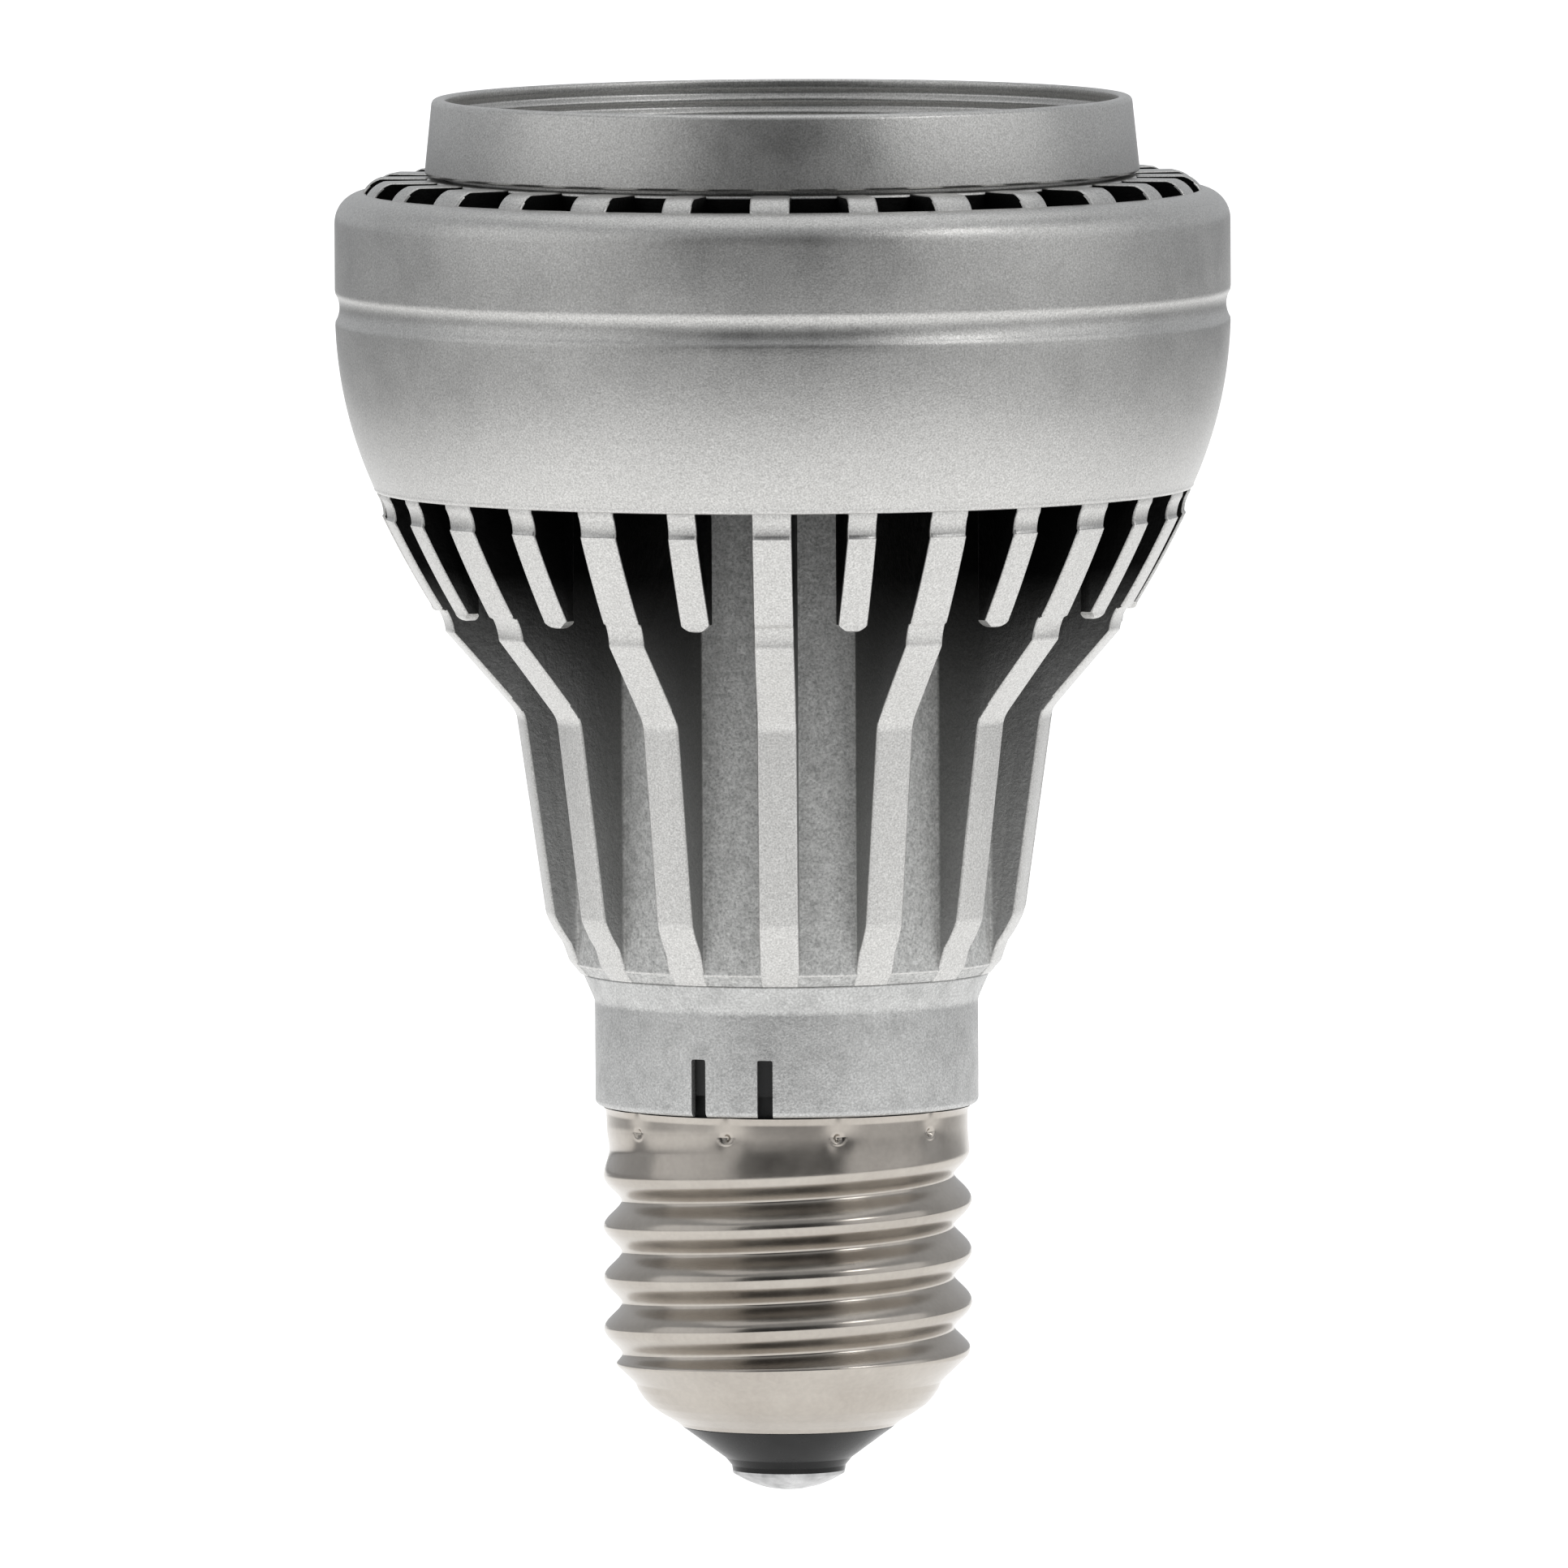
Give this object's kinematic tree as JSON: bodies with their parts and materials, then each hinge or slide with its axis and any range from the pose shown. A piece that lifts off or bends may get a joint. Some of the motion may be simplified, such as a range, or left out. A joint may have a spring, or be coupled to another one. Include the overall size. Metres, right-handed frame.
{
  "type": "led reflector lamp",
  "caption": "Reflector lamp with finned die-cast heat sink, vented collar, screwed front lens ring, push-fit neck sleeve and Edison screw cap; driver, board and optics inside.",
  "frame": {"origin": "tip of the centre contact, on the lamp's axis", "axes": "+Z along the lamp's axis from the cap to the front lens, -Y towards the side that the snap tongue slots are on, +X to the right as seen from there"},
  "size_m": [0.0636, 0.0634, 0.099],
  "materials": {
    "satin_silver": "fine-grained satin silver paint on die-cast or turned aluminium",
    "neck_silver": "satin silver paint on moulded plastic",
    "cap_nickel": "nickel plating on brass sheet, glossy",
    "insulator_black": "glossy black moulding",
    "contact_metal": "tinned contact, satin",
    "lens_clear": "clear, polished",
    "optic_clear": "clear acrylic, polished",
    "gasket_rubber": "soft, matt",
    "clip_steel": "spring steel, satin",
    "holder_black": "fine spark-eroded texture",
    "board_white": "white solder mask on an aluminium board",
    "led_ceramic": "sintered ceramic",
    "led_phosphor": "silicone dome over yellow phosphor",
    "pad_grey": "soft heat-conducting pad",
    "screw_steel": "zinc-plated steel",
    "connector_white": "moulded nylon",
    "wire_red": "soft wire insulation",
    "wire_black": "soft wire insulation",
    "housing_black": "moulded black plastic",
    "circuit_green": "green solder mask on glass-fibre board",
    "ferrite": "sintered ferrite",
    "coil_tape": "yellow tape over copper winding",
    "capacitor_sleeve": "dark shrink sleeve",
    "film_case": "moulded case",
    "chip_black": "moulding compound",
    "resistor_body": "lacquered ceramic"
  },
  "bodies": {
    "root": {"board_screws": "screw_steel", "bridge_rectifier": "chip_black", "cap_insulator": "insulator_black", "cap_shell": "cap_nickel", "centre_contact": "contact_metal", "choke_coil": "ferrite", "driver_board": "circuit_green", "driver_chip": "chip_black", "driver_housing": "housing_black", "film_capacitor": "film_case", "fuse_resistor": "resistor_body", "heat_sink": "satin_silver", "housing_lid": "housing_black", "input_capacitor": "capacitor_sleeve", "led_board": "board_white", "led_connector": "connector_white", "led_dome_1": "led_phosphor", "led_dome_2": "led_phosphor", "led_dome_3": "led_phosphor", "led_lead_black": "wire_black", "led_lead_red": "wire_red", "led_package_1": "led_ceramic", "led_package_2": "led_ceramic", "led_package_3": "led_ceramic", "live_wire": "wire_red", "neck_sleeve": "neck_silver", "neutral_wire": "wire_black", "optic_holder": "holder_black", "output_capacitor": "capacitor_sleeve", "power_transistor": "chip_black", "thermal_pad": "pad_grey", "tir_optic_1": "optic_clear", "tir_optic_2": "optic_clear", "tir_optic_3": "optic_clear", "transformer_coil": "coil_tape", "transformer_core": "ferrite"},
    "lens": {"front_lens": "lens_clear", "lens_gasket": "gasket_rubber", "lens_clip": "clip_steel"},
    "ring": {"lens_ring": "satin_silver"}
  },
  "joints": [
    {"name": "lens_lift", "type": "slide", "parent": "root", "child": "lens", "axis": [0, 0, 1], "range_m": [0, 0.0045]},
    {"name": "ring_unscrew", "type": "hinge", "parent": "lens", "child": "ring", "pos_m": [0, 0, 0.09], "axis": [0, 0, 1], "range_deg": [0, 1080]}
  ],
  "couplings": [
    {"joint": "lens_lift", "follows": "ring_unscrew", "m_per_rad": 0.00023873}
  ]
}
